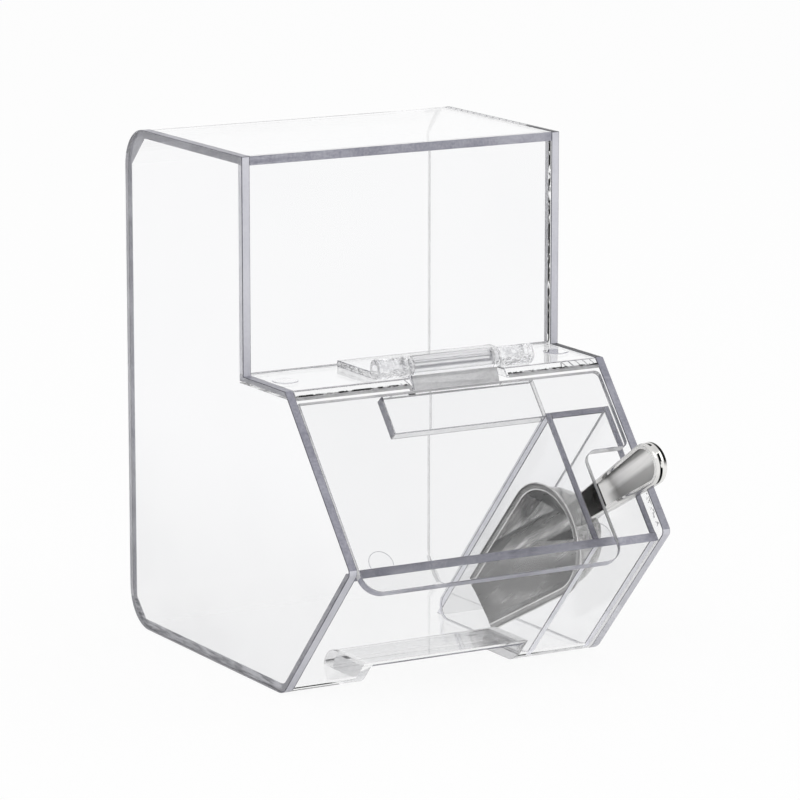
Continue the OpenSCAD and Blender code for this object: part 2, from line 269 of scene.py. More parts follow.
EDGE = sheet_finish(cut_edge("acrylic cut edge", (0.18, 0.18, 0.225), (0.38, 0.38, 0.44), 0.98))
LIT = sheet_finish(cut_edge("acrylic lit edge", (0.60, 0.60, 0.66), (0.78, 0.78, 0.84), 0.92))
SHADE = sheet_finish(cut_edge("acrylic edge in shade", (0.44, 0.44, 0.48), (0.62, 0.62, 0.66), 0.34))
ARRIS = sheet_finish(cut_edge("acrylic arris", (0.10, 0.10, 0.13), (0.26, 0.26, 0.30), 0.7))
GROUND = sheet_finish(cut_edge("acrylic ground bevel", (0.40, 0.40, 0.41), (0.58, 0.58, 0.59), 0.88))
FROST = sheet_finish(cut_edge("acrylic frosted edge", (0.62, 0.62, 0.63), (0.80, 0.80, 0.81), 0.8))
BRIGHT = sheet_finish(cut_edge("acrylic bright edge", (0.66, 0.66, 0.72), (0.86, 0.86, 0.90), 0.9, 0.45))
LID_TOP = sheet_finish(cut_edge("acrylic lid top edge", (0.38, 0.38, 0.39), (0.54, 0.54, 0.55), 0.95, 0.4))
JOINED = sheet_finish(cut_edge("acrylic cemented end", (0.62, 0.62, 0.66), (0.80, 0.80, 0.84), 0.12))
STREAKED = sheet_finish(cut_edge("acrylic streaked edge", (0.07, 0.07, 0.10), (0.62, 0.62, 0.68), 0.98,
                                 stretch=(1, 2, 16), limits=(0.42, 0.58)))
print("sheet finishes:", len(sheet_finishes))

# %% [markdown]
# ## Polishing a sheet
# Each sheet starts as a copy of its solid. Its loose triangles are merged and flat ones dissolved, so that
# every face is whole. A tiny bevel then breaks the sharp corners as a polisher does, and a rule gives each
# face the finish that suits it. The copy is shrunk by a hair, because two sheets that share a face would
# flicker.

# %% Copying and cutting a solid
HAIR = 0.00004
SAME_POINT = 0.000002
NEARLY_FLAT = math.radians(0.4)
X, Y, Z = Vector((1, 0, 0)), Vector((0, 1, 0)), Vector((0, 0, 1))


def loose_copy(node):
    shape = bmesh.new()
    shape.from_mesh(nodes[node].data)
    bmesh.ops.remove_doubles(shape, verts=shape.verts, dist=SAME_POINT)
    bmesh.ops.dissolve_limit(shape, angle_limit=NEARLY_FLAT, verts=shape.verts, edges=shape.edges)
    return shape


def shrink(shape, node):
    low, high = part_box(node)
    middle = (low + high) / 2
    factor = Vector([1 - HAIR / size for size in high - low])
    bmesh.ops.translate(shape, verts=shape.verts, vec=-middle)
    bmesh.ops.scale(shape, verts=shape.verts, vec=factor)
    bmesh.ops.translate(shape, verts=shape.verts, vec=middle)


def slice_at(shape, place, normal, **options):
    whole = shape.verts[:] + shape.edges[:] + shape.faces[:]
    bmesh.ops.bisect_plane(shape, geom=whole, plane_co=place, plane_no=normal, **options)


print("a hair is", HAIR * 1000, "mm")


# %% Breaking corners
def bevel(shape, edges, width, segments):
    made = bmesh.ops.bevel(shape, geom=edges, offset=width, offset_type="OFFSET", segments=segments,
                           profile=0.5, affect="EDGES", material=-1, clamp_overlap=True)
    return made["faces"]


def sharp_edges(shape, degrees):
    """The outer corners that turn by more than so many degrees. A polisher doesn't break inner ones."""
    limit = math.radians(degrees)
    return [e for e in shape.edges if len(e.link_faces) == 2 and e.calc_face_angle_signed() > limit]


# %% Keeping a finished shape
SMOOTH_BELOW = math.radians(32)


def runs_smoothly(edge):
    sides = edge.link_faces
    if len(sides) != 2 or sides[0].material_index != sides[1].material_index:
        return False
    return edge.calc_face_angle() < SMOOTH_BELOW


def keep(shape, name, body, finishes, slot, *stands_for):
    for edge in shape.edges:
        edge.smooth = runs_smoothly(edge)
    for face in shape.faces:
        face.smooth = True
    mesh = bpy.data.meshes.new(name)
    shape.to_mesh(mesh)
    shape.free()
    for finish in finishes:
        mesh.materials.append(finish)
    piece = bpy.data.objects.new(name, mesh)
    bpy.context.scene.collection.objects.link(piece)
    flat = piece.modifiers.new("flat faces stay flat", "WEIGHTED_NORMAL")
    flat.weight = 100
    flat.keep_sharp = True
    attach(piece, body)
    if stands_for:
        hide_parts(*stands_for)
    print(name, len(mesh.polygons), "faces")
    return piece


# %% Dressing a solid by a rule
SHEET_CORNER, SHEET_BREAK = 24, 0.0003


def ruled_copy(node, rule, corner, width, cuts=()):
    """A copy with its corners broken, where a rule on normal, middle and broken corner picks each finish."""
    shape = loose_copy(node)
    for place, normal in cuts:
        slice_at(shape, place, normal)
    broken = set(bevel(shape, sharp_edges(shape, corner), width, 2))
    shape.normal_update()
    for face in shape.faces:
        face.material_index = rule(face.normal, face.calc_center_median(), face in broken)
    shrink(shape, node)
    return shape


def polish_sheet(node, body, rule, cuts=()):
    shape = ruled_copy(node, rule, SHEET_CORNER, SHEET_BREAK, cuts)
    return keep(shape, node + "_polished", body, sheet_finishes, "acrylic", node)


print("corners are broken by", SHEET_BREAK * 1000, "mm")

# %% [markdown]
# ## The bin's sheets
# A finish could be painted on by hand in the editor, face by face. Here a rule for each sheet reads a face's
# normal and middle and says whether it is broad or cut. The edges that look to the front are lit and show
# well, while those at the back and on the far side stay quiet.

# %% Directions on the bin
LEDGE_FRONT = Vector((0, -0.047, 0.134))
NOSE = Vector((0, -0.104, 0.066))
BASE_FRONT = Vector((0, -0.044, 0.0))


def outwards(along):
    """The way out of a front face that runs down along a direction."""
    return Vector((0, along.z, -along.y))


DOWN = (NOSE - LEDGE_FRONT).normalized()
OUT = outwards(DOWN)
CHIN_OUT = outwards((BASE_FRONT - NOSE).normalized())
# How much of a normal has to lie along a direction, from flush with it to barely leaning that way.
FLUSH, SQUARE, MAINLY, LARGELY = 0.98, 0.95, 0.9, 0.8
SIDEWAYS, HALFWAY, LEANING, BARELY = 0.6, 0.5, 0.3, 0.05
print("the lid slopes at", round(math.degrees(math.asin(-DOWN.z))), "degrees")


# %% Side panels
def side_rule(n, c, broken):
    on_left = c.x < 0
    if broken:
        return ARRIS
    if abs(n.x) > SIDEWAYS:
        return NEAR if on_left else FACE
    if abs(n.y) > SQUARE or n.dot(CHIN_OUT) > SQUARE:
        return LIT if n.y < 0 or on_left else SHADE
    return EDGE if n.y < -LEANING or on_left else SHADE


for node in ("side_panel_left", "side_panel_right"):
    polish_sheet(node, "bin", side_rule)


# %% Tower's front pane
def pane_rule(n, c, broken):
    if broken:
        return ARRIS
    if abs(n.y) > SIDEWAYS:
        return FACE
    return LIT if abs(n.x) > SIDEWAYS else SHADE


polish_sheet("tower_front", "bin", pane_rule)


# %% Scoop pocket
def pocket_rule(n, c, broken):
    if broken:
        return ARRIS
    if abs(n.x) > SIDEWAYS:
        return FACE
    return EDGE if n.dot(OUT) > LARGELY else BRIGHT


def ramp_rule(n, c, broken):
    if broken:
        return ARRIS
    if n.dot(OUT) > LARGELY:
        return EDGE
    if abs(n.x) > SIDEWAYS:
        return LIT if n.x > 0 else BRIGHT
    return RAMP


for node, rule in (("pocket_divider", pocket_rule), ("pocket_wall", pocket_rule), ("pocket_ramp", ramp_rule)):
    polish_sheet(node, "bin", rule)

# %% [markdown]
# ## The bent body
# One sheet is bent round the bin's top, back, base and front, with a recess moulded under the front. Some of
# its faces run on past the place where their finish changes, so the copy is sliced there first: below the
# nose, near the back, along the base, and along and beside the recess's roof.

# %% Bent body
CHIN_CUT, BACK_CUT, BASE_CUT = -0.04, 0.0995, 0.012
RECESS_LEFT, RECESS_RIGHT, INSIDE = -0.041, 0.036, 0.0003
ROOF_BOTTOM, ROOF_TOP = 0.009, 0.0135
LINE_BOTTOM, LINE_TOP = 0.0095, 0.0104
END_X, REAR_Y = 0.07, 0.1025
BEND_Y, BEND_Z, BEND_TURN = 0.08, 0.03, (0.1, 0.995)
TOWER_Z, LIP_Y, LIP_UP = 0.2, -0.08, 0.4


def recess_finish(n, c):
    """The recess's dark front line and its roof tinted with painted shade, or None elsewhere."""
    if not (RECESS_LEFT < c.x < RECESS_RIGHT and c.y < 0):
        return None
    if n.dot(CHIN_OUT) > FLUSH and LINE_BOTTOM < c.z < LINE_TOP:
        return EDGE
    return ROOF if abs(n.z) > MAINLY and ROOF_BOTTOM < c.z < ROOF_TOP else None


def wrap_end(c):
    """The cut ends along the two side panels."""
    if c.x > -END_X:
        return SHADE
    return STREAKED if c.z < BASE_CUT and c.y > CHIN_CUT else EDGE


def wrap_rule(n, c, broken):
    if broken:
        return JOINED if c.x > END_X and c.y > REAR_Y else ARRIS
    if n.x > SIDEWAYS and c.y > BACK_CUT:
        return JOINED
    in_recess = recess_finish(n, c)
    if in_recess is not None:
        return in_recess
    if abs(n.x) > SIDEWAYS:
        return wrap_end(c)
    if c.y > BEND_Y and c.z < BEND_Z and BEND_TURN[0] < abs(n.z) < BEND_TURN[1]:
        return BEND
    top_edge = c.z > TOWER_Z and c.y < 0
    lip_edge = c.y < LIP_Y and n.z > LIP_UP
    if n.y < -HALFWAY and (top_edge or lip_edge):
        return EDGE
    return CHIN if abs(n.dot(CHIN_OUT)) > FLUSH else FACE


polish_sheet("body_wrap", "bin", wrap_rule, [
    (Y * CHIN_CUT, Y), (Y * BACK_CUT, Y), (Z * LINE_TOP, Z), (Z * BASE_CUT, Z),
    (X * (RECESS_LEFT + INSIDE), X), (X * (RECESS_RIGHT - INSIDE), X)])

# %% [markdown]
# ## The ledge and the lid
# The ledge is a small plate behind the lid, and only the upper part of its left end shows as a cut edge. The
# lid is the sheet that hands touch most. Its top edge catches the light, its foot and the notch for the
# scoop's handle are dark cut edges, and its other edges are frosted.

# %% Ledge and lid
LEDGE_CUT = 0.1314
LID_HEAD, LID_FOOT, NOTCH_SIDE = 0.012, 0.09, 0.06


def ledge_rule(n, c, broken):
    if broken:
        return ARRIS
    left_end = n.x < -SIDEWAYS and c.x < -END_X
    return EDGE if left_end and c.z > LEDGE_CUT else FACE


def lid_rule(n, c, broken):
    low = (c - LEDGE_FRONT).dot(DOWN)
    faces_up = n.dot(DOWN) < -LEANING
    head_corner = abs(n.dot(OUT)) < MAINLY and abs(n.x) < LEANING
    if low < LID_HEAD and (faces_up or head_corner):
        return LID_TOP
    if broken:
        return ARRIS
    if abs(n.dot(OUT)) > MAINLY:
        return TINTED
    at_foot = low > LID_FOOT and n.dot(DOWN) > BARELY
    in_notch = n.x > SIDEWAYS and c.x > NOTCH_SIDE
    return EDGE if at_foot or in_notch else FROST


polish_sheet("ledge_plate", "bin", ledge_rule, [(Z * LEDGE_CUT, Z)])
polish_sheet("lid_panel", "lid", lid_rule)

# %% [markdown]
# ## Cement
# A little cement creeps out of each joint and dries with bubbles in it. Three joints show it: the tower's
# front pane against the right panel, the ledge's front edge, and the pocket's wall against the right panel. A
# doubled film lies on each, and its finish is solid in specks and clear between them. On the ledge a ground
# film lies under the line.

# %% Cement finishes
SPECK_SCALE, SPECK_LOW, SPECK_HIGH = 1000.0, 0.6, 0.64
PATCH_SCALE, PATCH_LIMITS = 150.0, (0.3, 0.42)
CEMENT_ROUGHNESS = 0.35


def cement(name, colour, cover, density, stretch):
    made, shader, place = finish_of(name, Base_Color=(*colour, 1), Roughness=CEMENT_ROUGHNESS)
    specks = noise(place, SPECK_SCALE, 3.0, stretch).step(SPECK_LOW - density, SPECK_HIGH - density)
    patches = noise(place, PATCH_SCALE, 2.0).step(*PATCH_LIMITS)
    feed(shader, Alpha=specks * patches * cover)
    return made


black_specks = cement("dark cement specks", (0.015, 0.015, 0.02), 0.95, 0.13, (0.35, 1, 0.5))
dark_line = cement("dark cement line", (0.006, 0.006, 0.01), 0.97, 0.2, (0.35, 1, 0.3))
grey_specks = cement("grey cement specks", (0.3, 0.3, 0.33), 0.6, 0.08, (1, 0.6, 0.6))
print("cement:", black_specks.name, dark_line.name, grey_specks.name)

# %% Cement strips
PROUD = 0.0001
TOWER_LINE = 0.0018
LEDGE_FACE = 0.00522
HINGE_NOTCH = (-0.0196, 0.0296)
SPECKS_AT, SPECKS_WIDE, FILM_AT = 0.0027, 0.0009, 0.0029
STRIP_AT, STRIP_IN, STRIP_LONG, STRIP_WIDE = 0.05, 0.0031, 0.034, 0.0025


def smear(name, corner, along, across, finish):
    shape = bmesh.new()
    corner, along, across = Vector(corner), Vector(along), Vector(across)
    corners = (corner, corner + along, corner + along + across, corner + across)
    shape.faces.new([shape.verts.new(place) for place in corners])
    # The new face has no normal yet, so its two walls fall together and the strip stays a film.
    bmesh.ops.solidify(shape, geom=shape.faces[:], thickness=HAIR)
    bmesh.ops.recalc_face_normals(shape, faces=shape.faces)
    return keep(shape, name, "bin", [finish], "acrylic")


pane_low, pane_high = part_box("tower_front")
pane_foot = (pane_high.x - PROUD, pane_low.y, pane_low.z)
smear("cement_tower", pane_foot, Z * (pane_high.z - pane_low.z), Y * -TOWER_LINE, dark_line)

ledge_low, ledge_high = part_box("ledge_plate")
for name, left, right, line in (("cement_ledge_left", ledge_low.x, HINGE_NOTCH[0], dark_line),
                                ("cement_ledge_right", HINGE_NOTCH[1], ledge_high.x, black_specks)):
    corner, along = LEDGE_FRONT + X * left, X * (right - left)
    smear(name, corner + DOWN * SPECKS_AT + OUT * 2 * PROUD, along, DOWN * SPECKS_WIDE, line)
    smear(name + "_film", corner + DOWN * FILM_AT + OUT * PROUD, along, DOWN * (LEDGE_FACE - FILM_AT),
          sheet_finishes[GROUND])

wall_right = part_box("pocket_wall")[1].x - PROUD
strip = LEDGE_FRONT + DOWN * STRIP_AT - OUT * STRIP_IN
smear("cement_pocket", strip + X * wall_right, DOWN * STRIP_LONG, OUT * STRIP_WIDE, grey_specks)

# %% [markdown]
# ## The hinge
# The hinge is moulded, not cut, so its knuckles are rippled and its barrel is drawn along its length. The
# ripple is a bump, because its waves are far thinner than the wall. The barrel's soft grey bands follow its
# height and are painted reflections. The bores bend almost no light, or the pin inside them would break up.

# %% Hinge finishes
hinge_place = [joint["pos_m"] for joint in frame["joints"] if joint["name"] == "lid_hinge"][0]
HINGE_Y, HINGE_Z = hinge_place[1:]
BARREL_R, HINGE_IOR = 0.0045, 1.45
WAVE_SCALE, WAVE_DEPTH, VEIN_WIDTH = 260.0, 0.002, 0.05
VEIN_GREY, HINGE_CLEAR = (0.62, 0.62, 0.64, 1), (0.98, 0.98, 0.985, 1)
WOBBLE_SCALE, WOBBLE = 90.0, 0.1
BARREL_REFLECTIONS = ((0.0, 0.97), (0.2, 0.985), (0.25, 0.86), (0.29, 0.84), (0.33, 0.96), (0.42, 0.96),
                (0.46, 0.78), (0.72, 0.8), (0.78, 0.97), (1.0, 0.985))


def moulded(name, ripple):
    made, shader, place = finish_of(name, IOR=HINGE_IOR, Transmission_Weight=1.0)
    waves = noise(place, WAVE_SCALE, 2.0, (0.8, 1, 1))
    vein = (waves - 0.5).maths("ABSOLUTE").step(0.0, VEIN_WIDTH)
    feed(shader, Base_Color=vein.mix(VEIN_GREY, HINGE_CLEAR), Roughness=0.14 - vein * 0.1,
         Normal=waves.bump(ripple, WAVE_DEPTH))
    return made


# Painted reflections: grey bands by height round the clear barrel, with a wobble drawn along it.
def drawn(name):
    made, shader, place = finish_of(name, IOR=HINGE_IOR, Transmission_Weight=1.0)
    band = (place.part(2) - (HINGE_Z - BARREL_R)) / (2 * BARREL_R)
    wobble = (noise(place, WOBBLE_SCALE, 2.0, (0.15, 1, 1)) - 0.5) * WOBBLE
    stops = [(at, (grey, grey, grey * 1.01, 1)) for at, grey in BARREL_REFLECTIONS]
    tone = place.node("ShaderNodeValToRGB", {"stops": stops}, i0=band + wobble)
    feed(shader, Base_Color=tone, Roughness=noise(place, 120.0) * 0.1 + 0.05)
    return made


hinge_finishes = sheet_finishes + [moulded("moulded knuckle", 0.55), drawn("drawn barrel")]
KNUCKLE, BARREL = len(sheet_finishes), len(sheet_finishes) + 1
print("hinge axis at y", HINGE_Y, "and z", HINGE_Z)

# %% Hinge leaves and pin
HINGE_CORNER, HINGE_BREAK = 40, 0.0004
KNUCKLE_REACH, BARREL_REACH = 0.0056, 0.0048
LEAF_HEAD, LEAF_FOOT = 0.0058, 0.7


def reach(c):
    return math.hypot(c.y - HINGE_Y, c.z - HINGE_Z)


def in_bore(n, c):
    return abs(n.x) < SIDEWAYS and n.y * (c.y - HINGE_Y) + n.z * (c.z - HINGE_Z) < 0


def fixed_leaf_rule(n, c, broken):
    if reach(c) < KNUCKLE_REACH:
        return BEND if in_bore(n, c) else KNUCKLE
    if broken:
        return ARRIS
    return EDGE if n.x < -SIDEWAYS else FACE


def lid_leaf_rule(n, c, broken):
    if reach(c) < BARREL_REACH:
        return BEND if in_bore(n, c) else BARREL
    if broken:
        return ARRIS
    if (c - LEDGE_FRONT).dot(DOWN) < LEAF_HEAD and n.dot(OUT) > LEANING:
        return GROUND
    if n.x < -SIDEWAYS:
        return EDGE
    return SHADE if n.dot(DOWN) > LEAF_FOOT or n.x > SIDEWAYS else FACE


for node, body, rule in (("hinge_leaf_fixed", "bin", fixed_leaf_rule),
                         ("hinge_leaf_lid", "lid", lid_leaf_rule)):
    leaf = ruled_copy(node, rule, HINGE_CORNER, HINGE_BREAK)
    keep(leaf, node + "_moulded", body, hinge_finishes, "hinge_plastic", node)
pin_finishes = nodes["hinge_pin"].data.materials
pin_finishes.clear()
pin_finishes.append(cut_edge("pale pin", (0.82, 0.82, 0.83), (0.93, 0.93, 0.93), 0.12))

# %% [markdown]
# ## The bumper dots
# Four thin clear dots keep the lid from knocking on the bin. Full glass would turn each into a strong lens,
# and the real ones are only faint rings. So they bend light very little, and their rounded rim has the cut
# edge's finish.

# %% Dots
DOT_IOR, DOT_CORNER, DOT_ROUND = 1.04, 60, 0.0004
dot_finishes = [clear_face("clear bumper", (0.985, 0.985, 0.988), 1.6, DOT_IOR), sheet_finishes[EDGE]]
DOT_RIM = 1
for dot in ("ledge_dot_left", "ledge_dot_right", "lid_dot_left", "lid_dot_right"):
    lens = loose_copy(dot)
    for face in bevel(lens, sharp_edges(lens, DOT_CORNER), DOT_ROUND, 2):
        face.material_index = DOT_RIM
    keep(lens, dot + "_lens", "lid" if dot.startswith("lid") else "bin", dot_finishes, "bumper", dot)

# %% [markdown]
# ## The scoop's metal
# The scoop lies on its side with its bowl towards the divider. Its metal is read in the scoop's own frame,
# with its axis along X and its bowl open to Z, so that brush strokes run along it. A polished bowl mirrors a
# whole room, which this plain studio lacks. Its dark and bright streaks are therefore painted as tones of the
# metal, at places in metres along, across and above that frame.

# %% Scoop frame and metal
MOUTH = Vector((0.0505, 0.00772, 0.01493))
PITCH, YAW, ROLL = math.radians(37.5), math.radians(3.5), math.radians(5)
QUARTER = math.pi / 2
stored = (Matrix.Translation(MOUTH) @ Matrix.Rotation(YAW - QUARTER, 4, "Z")
          @ Matrix.Rotation(-PITCH, 4, "Y") @ Matrix.Rotation(QUARTER + ROLL, 4, "X"))
STROKE_SCALE, SMOKE_SCALE, GRAIN_DEPTH = 420.0, 45.0, 0.0003
BLACK, SILVER = (0, 0, 0, 1), (1, 0.99, 0.97, 1)


def metal(name, rough, tone, metallic=1.0, grain=0.1, specular=0.5):
    """A metal whose grey is a function of its place on the scoop, its brush strokes and its smoke."""
    made, shader, place = finish_of(name, Metallic=metallic, Specular_IOR_Level=specular)
    turn = stored.to_3x3().inverted().to_euler()
    moved = place.node("ShaderNodeVectorMath", {"operation": "SUBTRACT"}, i0=place, i1=tuple(MOUTH))
    own = place.node("ShaderNodeMapping", None, Vector=moved, Rotation=tuple(turn))
    strokes = noise(own, STROKE_SCALE, 3.0, (0.06, 1, 1))
    smoke = noise(own, SMOKE_SCALE, 3.0, (0.6, 1, 1))
    grey = tone(own, strokes, smoke)
    feed(shader, Base_Color=grey.mix(BLACK, SILVER), Roughness=strokes * 0.12 + rough,
         Normal=strokes.bump(grain, GRAIN_DEPTH))
    return made


def plain(dark, pale):
    """A tone that drifts between two greys."""
    def tone(own, strokes, smoke):
        return (strokes * 0.4 + smoke * 0.6).step(0.3, 0.7) * (pale - dark) + dark
    return tone


def grey_ramp(value, stops):
    """A grey that follows a value, smooth from each stop to the next."""
    colours = [(at, (grey, grey, grey, 1)) for at, grey in stops]
    ramp = value.node("ShaderNodeValToRGB", {"stops": colours}, i0=value)
    return ramp.node("ShaderNodeRGBToBW", None, i0=ramp)


print("scoop's mouth at", [round(v, 4) for v in MOUTH])

# %% Bowl's streaks and shades
DEPTH_ALONG, DEPTH_ACROSS = 1.367, 0.523
SLANT, SLANT_FROM, STREAK_SPAN, SWAY = 0.2, 0.06, 0.05, 0.004
FINE_SCALE = 650.0
STREAKS = ((0.0, 0.2), (0.36, 0.26), (0.46, 0.28), (0.49, 0.3), (0.525, 0.46), (0.565, 0.24), (0.6, 0.12),
           (0.665, 0.05), (0.675, 0.03), (0.69, 0.6), (0.9, 0.66))


def bowl_streaks(along, slant):
    """Painted reflections in slanting streaks, all but the brightest of them weaker towards the mouth."""
    far = along.step(0.02, 0.05).larger(slant.step(0.67, 0.69))
    return grey_ramp(slant, STREAKS) * (far * 0.5 + 0.5) + (1 - far) * 0.09


def bowl_darks(along, across, slant, sway, smoke):
    """Painted dark reflections: a dark corner, a dark lower side and a dark crescent behind the rim."""
    corner = along.step(0.062, 0.066) * (1 - slant.step(0.455, 0.475))
    corner = corner * (slant + (along - 0.0638) * 5.5).step(0.45, 0.47)
    low = along.step(0.054, 0.066) * (1 - across.step(-0.017, -0.012))
    behind = (along * 0.726 + across * 0.687 + sway * 0.5).step(0.0612, 0.0622)
    smoky = behind * (1 - smoke.step(0.5, 0.62) * 0.4)
    return corner.larger(low * 0.8).larger(smoky)


def bowl_shade(along, across, slant):
    """The lid's shadow, a deeper patch in it, the mouth's lip and a softened glare, with more light above."""
    height = across + along * 0.495
    under_lid = height.step(0.004, 0.009) * (1 - height.step(0.018, 0.024))
    patch = under_lid * along.step(0.051, 0.058) * 0.8
    lip = (1 - along.step(0.004, 0.014)) * across.step(-0.006, 0.0) * 0.7
    glare = slant.step(0.66, 0.7) * along.step(0.052, 0.06) * 0.5
    upper = height.step(0.022, 0.03) * (1 - along.step(0.045, 0.06)) * 0.4 + 1
    return (1 - under_lid * 0.6) * (1 - patch) * (1 - lip) * (1 - glare) * upper


def inside_tone(own, strokes, smoke):
    """The mirrored room in the bowl under fine brush strokes. It shifts with a point's depth."""
    x, y, z = [own.part(axis) for axis in range(3)]
    along, across = x - z * DEPTH_ALONG, y + z * DEPTH_ACROSS
    sway = (smoke - 0.5) * SWAY
    slant = (across + (along - SLANT_FROM) * SLANT + sway) / STREAK_SPAN + 0.5
    near_mouth = x.step(-0.002, 0.014) * 0.8 + 0.2
    fine = noise(own, FINE_SCALE, 1.0, (0.04, 1, 1))
    brush = strokes.step(0.3, 0.7) * 0.3 + fine.step(0.3, 0.7) * 0.5 + 0.6
    room = bowl_streaks(along, slant) * (1 - bowl_darks(along, across, slant, sway, smoke))
    return room * near_mouth * bowl_shade(along, across, slant) * brush


print("streaks in the bowl:", len(STREAKS), "stops")

# %% Bowl's finishes
# The rim's rings are painted light: painted highlights on the bead and the inner line, painted shade in the
# groove and a darker painted reflection on the flange.
bowl_finishes = [
    metal("bowl bead", 0.05, plain(0.5, 0.8)),
    metal("bowl groove", 0.1, plain(0.01, 0.06)),
    metal("bowl flange", 0.12, plain(0.12, 0.3)),
    metal("bowl inner line", 0.05, plain(0.5, 0.75)),
    metal("bowl wall", 0.2, inside_tone, metallic=0.5, grain=0.04),
    metal("bowl floor", 0.2, inside_tone, metallic=0.9, grain=0.04),
    metal("bowl outside", 0.1, plain(0.2, 0.6)),
]
BEAD, GROOVE, FLANGE, LINE, WALL, FLOOR, OUTSIDE = range(len(bowl_finishes))
print("bowl finishes:", [made.name for made in bowl_finishes])

# %% [markdown]
# ## The scoop's bowl
# The bowl could be lathed, but its rim is a tapered outline, not a circle. So the outline is drawn with a
# spin and two straight sides, filled, and sunk step by step with insets. The first insets make the rim's
# bead, groove and flange, with a painted highlight on the bead, painted shade in the groove and a darker
# painted reflection on the flange. The sides run on past the mouth, where a slice cuts them off, and a wall
# is added last.

# %% Bowl's outline
TAPER, RIM_R, BOWL_LEN = math.radians(10.5), 0.0248, 0.0635
RUN_ON, ARC_STEPS = 0.09, 44

bowl = bmesh.new()
start = bowl.verts.new((BOWL_LEN - RIM_R * math.sin(TAPER), RIM_R * math.cos(TAPER), 0))
arc = bmesh.ops.spin(bowl, geom=[start], cent=(BOWL_LEN, 0, 0), axis=(0, 0, -1),
                     angle=math.pi + 2 * TAPER, steps=ARC_STEPS)
last = [v for v in arc["geom_last"] if isinstance(v, bmesh.types.BMVert)][0]
for end in (start, last):
    out = bmesh.ops.extrude_vert_indiv(bowl, verts=[end])["verts"]
    inward = -math.copysign(RUN_ON * math.tan(TAPER), end.co.y)
    bmesh.ops.translate(bowl, verts=out, vec=(-RUN_ON, inward, 0))
bowl.edges.new([v for v in bowl.verts if v.co.x < 0])
bmesh.ops.contextual_create(bowl, geom=bowl.edges[:])
print("outline of", len(bowl.verts), "corners")

# %% Sinking the bowl
# Each step goes inward and down, in millimetres, and names the finish of its ring.
STEPS = ((0.5, -0.3, BEAD), (0.9, 0.3, GROOVE), (1.5, 0.0, FLANGE), (0.6, 0.1, LINE),
         (0.2, 2.6, WALL), (0.6, 3.0, WALL), (1.0, 3.0, WALL), (1.2, 2.3, WALL),
         (1.2, 1.4, FLOOR), (1.6, 0.3, FLOOR))
BOWL_CUTS = (0.064, 0.048, 0.032, 0.016)
# How fast the bowl and its rim flatten towards the mouth, per metre.
BOWL_RISE, RIM_FALL = 15.2, 6

sunk = bowl.faces[:]
sunk[0].material_index = FLOOR
for inward, down, finish in STEPS:
    before = set(bowl.faces)
    bmesh.ops.inset_individual(bowl, faces=sunk, thickness=inward / 1000, depth=-down / 1000,
                               use_even_offset=True)
    for face in set(bowl.faces) - before:
        face.material_index = finish
for cut in BOWL_CUTS:
    slice_at(bowl, X * cut, X)
slice_at(bowl, X * 0, -X, clear_outer=True)
for v in bowl.verts:
    v.co.z *= 1 + (v.co.x - BOWL_LEN) * (BOWL_RISE if v.co.z < 0 else RIM_FALL)
print("bowl of", len(bowl.faces), "faces")

# %% Bowl's wall
BOWL_WALL, BOWL_CORNER, BOWL_BREAK = 0.0011, 60, 0.0003
BOWL_MIDDLE = 0.008

bmesh.ops.recalc_face_normals(bowl, faces=bowl.faces)
if sum(f.normal.z * f.calc_area() for f in bowl.faces) < 0:
    bmesh.ops.reverse_faces(bowl, faces=bowl.faces)
bmesh.ops.solidify(bowl, geom=bowl.faces[:], thickness=BOWL_WALL)
bmesh.ops.recalc_face_normals(bowl, faces=bowl.faces)
for face in bowl.faces:
    middle = face.calc_center_median()
    inward = Vector((min(middle.x, BOWL_LEN), 0, BOWL_MIDDLE)) - middle
    if face.normal.dot(inward) < 0 and face.normal.z < HALFWAY:
        face.material_index = OUTSIDE
bevel(bowl, sharp_edges(bowl, BOWL_CORNER), BOWL_BREAK, 2)
bmesh.ops.transform(bowl, matrix=stored, verts=bowl.verts)
keep(bowl, "scoop_bowl_brushed", "scoop", bowl_finishes, "scoop_metal", "scoop_bowl")

# %% [markdown]
# ## The scoop's handle
# The handle starts as a copy of its solid, turned back so that its length runs along X. Its outer edges are
# rounded widely, while those of its dish stay crisp. The dish is brushed, the rest is polished, and both
# carry painted reflections. The flat neck is painted dark, a painted reflection of the shadow under the lid.

# %% Handle's finishes
NECK, HANDLE_SET = 0.0803, math.radians(6)
DISH_BEGINS, DISH_WIDE = (0.1135, 0.1205), 1 / 60
DISH_REFLECTIONS = ((0.0, 0.38), (0.18, 0.42), (0.4, 0.48), (0.52, 0.9), (0.7, 1.0), (0.78, 0.75),
              (0.84, 0.35))
TIP, BLOT_SCALE = (0.1465, 0.1495), 170.0


def off_line(x, y):
    """How far a point lies from the handle's own line, which is set at an angle to the bowl's."""
    return y + (x - NECK) * math.tan(HANDLE_SET)


def dish_tone(own, strokes, smoke):
    """Painted reflections: bright where the dish begins, then dark along its upper side, a bright band and
    grey below.
    """
    x, y = own.part(0), own.part(1)
    begins = 1 - x.step(*DISH_BEGINS)
    band = grey_ramp(off_line(x, y) / DISH_WIDE + 0.5, DISH_REFLECTIONS)
    return begins * 0.9 + (1 - begins) * band * (strokes * 0.3 + smoke * 0.2 + 0.75)


